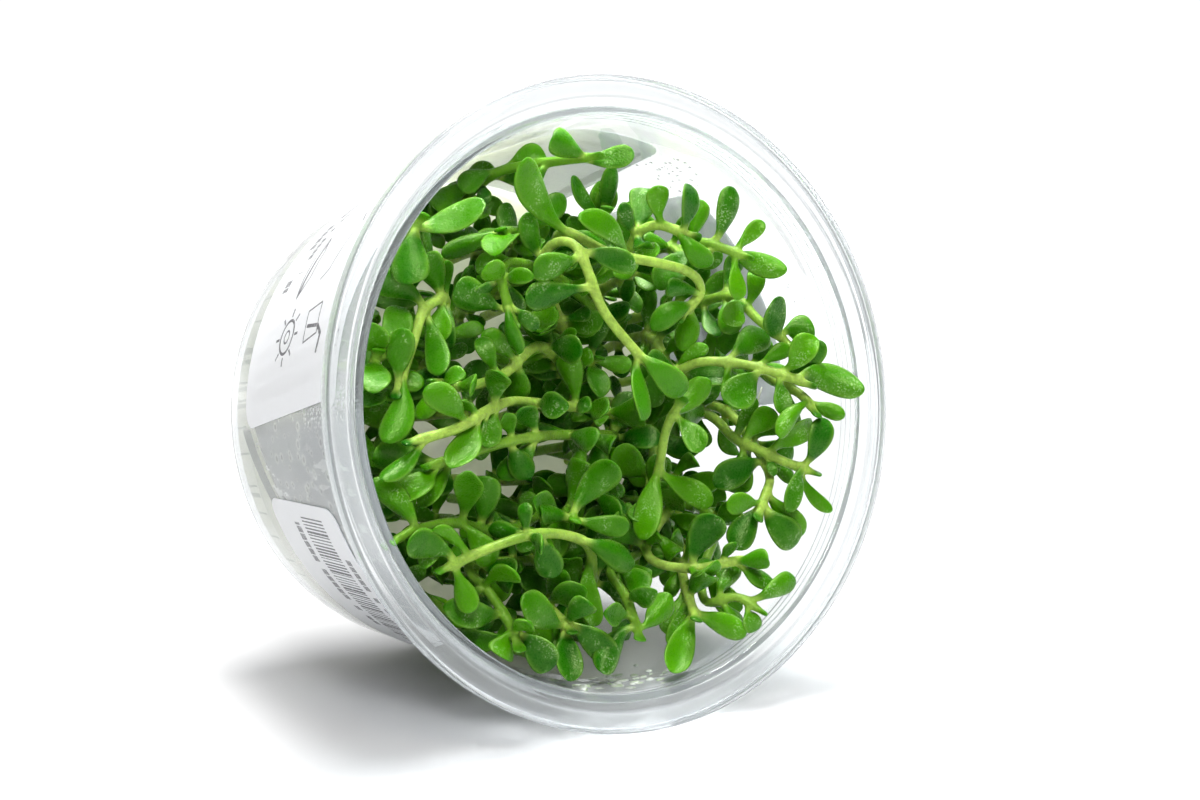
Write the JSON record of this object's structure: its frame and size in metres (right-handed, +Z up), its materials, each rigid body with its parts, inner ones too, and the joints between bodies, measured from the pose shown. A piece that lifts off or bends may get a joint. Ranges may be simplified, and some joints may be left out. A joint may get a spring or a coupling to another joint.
{
  "type": "tissue culture water hyssop",
  "caption": "Open clear tissue culture cup on its side, holding a dense tangle of green water hyssop sprigs rooted in nutrient gel.",
  "frame": {"origin": "bottom centre of the bounding box, on the floor that the cup lies on", "axes": "+Z up, -Y to the front, where the open mouth faces and tilts up a little, +X to the right"},
  "size_m": [0.0996, 0.0762, 0.0981],
  "materials": {
    "clear_plastic": "clear, glossy, thin walled",
    "nutrient_gel": "cloudy, moist",
    "label_paper": "smooth white sticker",
    "hyssop_green": "fleshy leaf, satin sheen"
  },
  "bodies": {
    "root": {"cup": "clear_plastic", "nutrient_gel": "nutrient_gel", "label_care": "label_paper", "label_code": "label_paper", "label_side": "label_paper", "sprig_01": "hyssop_green", "sprig_02": "hyssop_green", "sprig_03": "hyssop_green", "sprig_04": "hyssop_green", "sprig_05": "hyssop_green", "sprig_06": "hyssop_green", "sprig_07": "hyssop_green", "sprig_08": "hyssop_green", "sprig_09": "hyssop_green", "sprig_10": "hyssop_green", "sprig_11": "hyssop_green", "sprig_12": "hyssop_green", "sprig_13": "hyssop_green", "sprig_14": "hyssop_green", "sprig_15": "hyssop_green", "sprig_16": "hyssop_green", "sprig_17": "hyssop_green", "sprig_18": "hyssop_green", "sprig_19": "hyssop_green", "sprig_20": "hyssop_green", "sprig_21": "hyssop_green", "sprig_22": "hyssop_green", "sprig_23": "hyssop_green", "sprig_24": "hyssop_green", "sprig_25": "hyssop_green", "sprig_26": "hyssop_green", "sprig_27": "hyssop_green", "sprig_28": "hyssop_green", "sprig_29": "hyssop_green", "sprig_30": "hyssop_green", "sprig_31": "hyssop_green", "sprig_32": "hyssop_green", "sprig_33": "hyssop_green", "sprig_34": "hyssop_green", "sprig_35": "hyssop_green", "sprig_36": "hyssop_green"}
  },
  "joints": []
}
